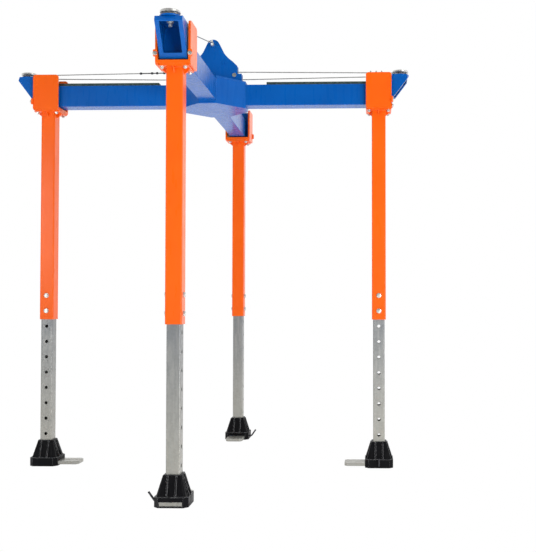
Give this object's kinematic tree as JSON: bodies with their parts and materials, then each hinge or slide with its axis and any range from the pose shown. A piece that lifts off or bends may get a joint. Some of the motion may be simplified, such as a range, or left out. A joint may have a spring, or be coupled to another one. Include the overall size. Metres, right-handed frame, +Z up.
{
  "type": "portable gantry crane",
  "caption": "Free-standing lifting gantry: a cross of box beams on telescopic legs with index holes and cast feet, with a central mast and wire rope stays.",
  "frame": {"origin": "on the ground under the axis of the hub", "axes": "+Z up; +X along the right arm; -Y along the front arm"},
  "size_m": [3.414, 3.414, 3.704],
  "materials": {
    "blue_paint": "gloss paint",
    "orange_paint": "gloss paint",
    "galvanised": "hot-dip galvanised, mottled",
    "zinc_steel": "zinc plated",
    "black_cast": "black coated casting",
    "dark_bar": "dull dark green grey",
    "dark_steel": "black oxide",
    "black_rubber": "matt black pad",
    "wire_rope": "stranded galvanised wire"
  },
  "bodies": {
    "root": {"hub_box": "blue_paint", "hub_top_plate": "blue_paint", "mast_plate_front": "blue_paint", "mast_plate_rear": "blue_paint", "right_beam": "blue_paint", "right_arm_head": "blue_paint", "right_leg_fork": "orange_paint", "right_outer_leg": "orange_paint", "rear_beam": "blue_paint", "rear_arm_head": "blue_paint", "rear_leg_fork": "orange_paint", "rear_outer_leg": "orange_paint", "left_beam": "blue_paint", "left_arm_head": "blue_paint", "left_leg_fork": "orange_paint", "left_outer_leg": "orange_paint", "front_beam": "blue_paint", "front_arm_head": "blue_paint", "front_leg_fork": "orange_paint", "front_outer_leg": "orange_paint", "beam_top_bars": "dark_bar", "rest_pads": "black_rubber", "mast_spacer_bolts": "blue_paint", "mast_top_pin": "blue_paint", "sheave_posts": "zinc_steel", "fork_bolts": "zinc_steel", "flange_bolts": "zinc_steel", "lock_bolts": "zinc_steel", "mast_sheave_axles": "zinc_steel", "front_rope_eye": "zinc_steel", "rear_rope_eye": "zinc_steel", "rope_clips": "zinc_steel", "stay_ferrules": "zinc_steel", "turnbuckle": "dark_steel", "arm_rope": "wire_rope", "front_stay_rope": "wire_rope", "rear_stay_rope": "wire_rope"},
    "right_leg": {"right_inner_leg": "galvanised", "right_foot": "black_cast"},
    "right_bar": {"right_foot_bar": "galvanised"},
    "right_rod": {"right_clamp_rod": "dark_steel"},
    "right_head_sheave": {"right_rope_sheave": "zinc_steel"},
    "rear_leg": {"rear_inner_leg": "galvanised", "rear_foot": "black_cast"},
    "rear_bar": {"rear_foot_bar": "galvanised"},
    "rear_rod": {"rear_clamp_rod": "dark_steel"},
    "rear_head_sheave": {"rear_rope_sheave": "zinc_steel"},
    "left_leg": {"left_inner_leg": "galvanised", "left_foot": "black_cast"},
    "left_bar": {"left_foot_bar": "galvanised"},
    "left_rod": {"left_clamp_rod": "dark_steel"},
    "left_head_sheave": {"left_rope_sheave": "zinc_steel"},
    "front_leg": {"front_inner_leg": "galvanised", "front_foot": "black_cast"},
    "front_bar": {"front_foot_bar": "galvanised"},
    "front_rod": {"front_clamp_rod": "dark_steel"},
    "front_head_sheave": {"front_rope_sheave": "zinc_steel"},
    "mast_sheave_l": {"mast_sheave_left": "zinc_steel"},
    "mast_sheave_r": {"mast_sheave_right": "zinc_steel"}
  },
  "joints": [
    {"name": "right_leg_slide", "type": "slide", "parent": "root", "child": "right_leg", "axis": [0, 0, 1], "range_m": [-0.266, 0.931]},
    {"name": "right_bar_slide", "type": "slide", "parent": "right_leg", "child": "right_bar", "axis": [1, 0, 0], "range_m": [0, 0.18]},
    {"name": "right_rod_turn", "type": "hinge", "parent": "right_leg", "child": "right_rod", "pos_m": [1.444, -0.12, 0.025], "axis": [0, -1, 0], "range_deg": [-60, 90]},
    {"name": "right_sheave_turn", "type": "hinge", "parent": "root", "child": "right_head_sheave", "pos_m": [1.632, 0, 3.4], "axis": [0, 0, 1], "continuous": true},
    {"name": "rear_leg_slide", "type": "slide", "parent": "root", "child": "rear_leg", "axis": [0, 0, 1], "range_m": [-0.266, 0.931]},
    {"name": "rear_bar_slide", "type": "slide", "parent": "rear_leg", "child": "rear_bar", "axis": [0, 1, 0], "range_m": [0, 0.18]},
    {"name": "rear_rod_turn", "type": "hinge", "parent": "rear_leg", "child": "rear_rod", "pos_m": [0.12, 1.444, 0.025], "axis": [1, 0, 0], "range_deg": [-60, 90]},
    {"name": "rear_sheave_turn", "type": "hinge", "parent": "root", "child": "rear_head_sheave", "pos_m": [0, 1.632, 3.4], "axis": [0, 0, 1], "continuous": true},
    {"name": "left_leg_slide", "type": "slide", "parent": "root", "child": "left_leg", "axis": [0, 0, 1], "range_m": [-0.266, 0.931]},
    {"name": "left_bar_slide", "type": "slide", "parent": "left_leg", "child": "left_bar", "axis": [-1, 0, 0], "range_m": [0, 0.18]},
    {"name": "left_rod_turn", "type": "hinge", "parent": "left_leg", "child": "left_rod", "pos_m": [-1.444, 0.12, 0.025], "axis": [0, 1, 0], "range_deg": [-60, 90]},
    {"name": "left_sheave_turn", "type": "hinge", "parent": "root", "child": "left_head_sheave", "pos_m": [-1.632, 0, 3.4], "axis": [0, 0, 1], "continuous": true},
    {"name": "front_leg_slide", "type": "slide", "parent": "root", "child": "front_leg", "axis": [0, 0, 1], "range_m": [-0.266, 0.931]},
    {"name": "front_bar_slide", "type": "slide", "parent": "front_leg", "child": "front_bar", "axis": [0, -1, 0], "range_m": [0, 0.18]},
    {"name": "front_rod_turn", "type": "hinge", "parent": "front_leg", "child": "front_rod", "pos_m": [-0.12, -1.444, 0.025], "axis": [-1, 0, 0], "range_deg": [-60, 90]},
    {"name": "front_sheave_turn", "type": "hinge", "parent": "root", "child": "front_head_sheave", "pos_m": [0, -1.632, 3.4], "axis": [0, 0, 1], "continuous": true},
    {"name": "mast_left_turn", "type": "hinge", "parent": "root", "child": "mast_sheave_l", "pos_m": [-0.185, 0, 3.39], "axis": [0, 1, 0], "continuous": true},
    {"name": "mast_right_turn", "type": "hinge", "parent": "root", "child": "mast_sheave_r", "pos_m": [0.185, 0, 3.39], "axis": [0, 1, 0], "continuous": true}
  ],
  "couplings": [
    {"joint": "right_sheave_turn", "follows": "left_sheave_turn", "ratio": 1},
    {"joint": "mast_left_turn", "follows": "left_sheave_turn", "ratio": 1.4941},
    {"joint": "mast_right_turn", "follows": "left_sheave_turn", "ratio": 1.4941}
  ]
}
